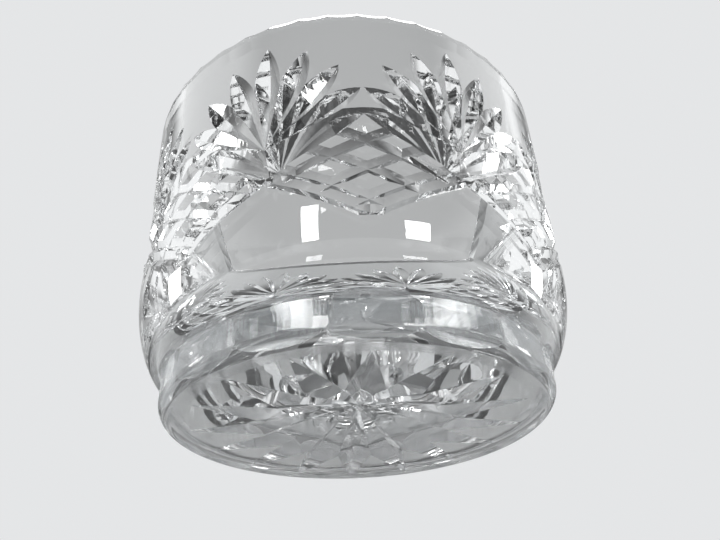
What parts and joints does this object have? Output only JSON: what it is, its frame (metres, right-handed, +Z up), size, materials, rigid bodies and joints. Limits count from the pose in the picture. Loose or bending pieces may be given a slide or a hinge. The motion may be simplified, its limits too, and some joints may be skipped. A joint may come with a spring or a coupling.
{
  "type": "footed bowl",
  "caption": "Straight-sided cut-glass bowl on a low panelled foot, with fans and diamond fields round the wall, a scalloped rim and a star-cut base.",
  "frame": {"origin": "centre of the flat face that the foot rests on", "axes": "+Z up through the mouth of the bowl; -Y faces the middle of one diamond field"},
  "size_m": [0.2016, 0.2016, 0.153],
  "materials": {
    "crystal": "polished clear lead crystal with wheel-cut facets"
  },
  "bodies": {
    "root": {"bowl": "crystal", "foot": "crystal"}
  },
  "joints": []
}
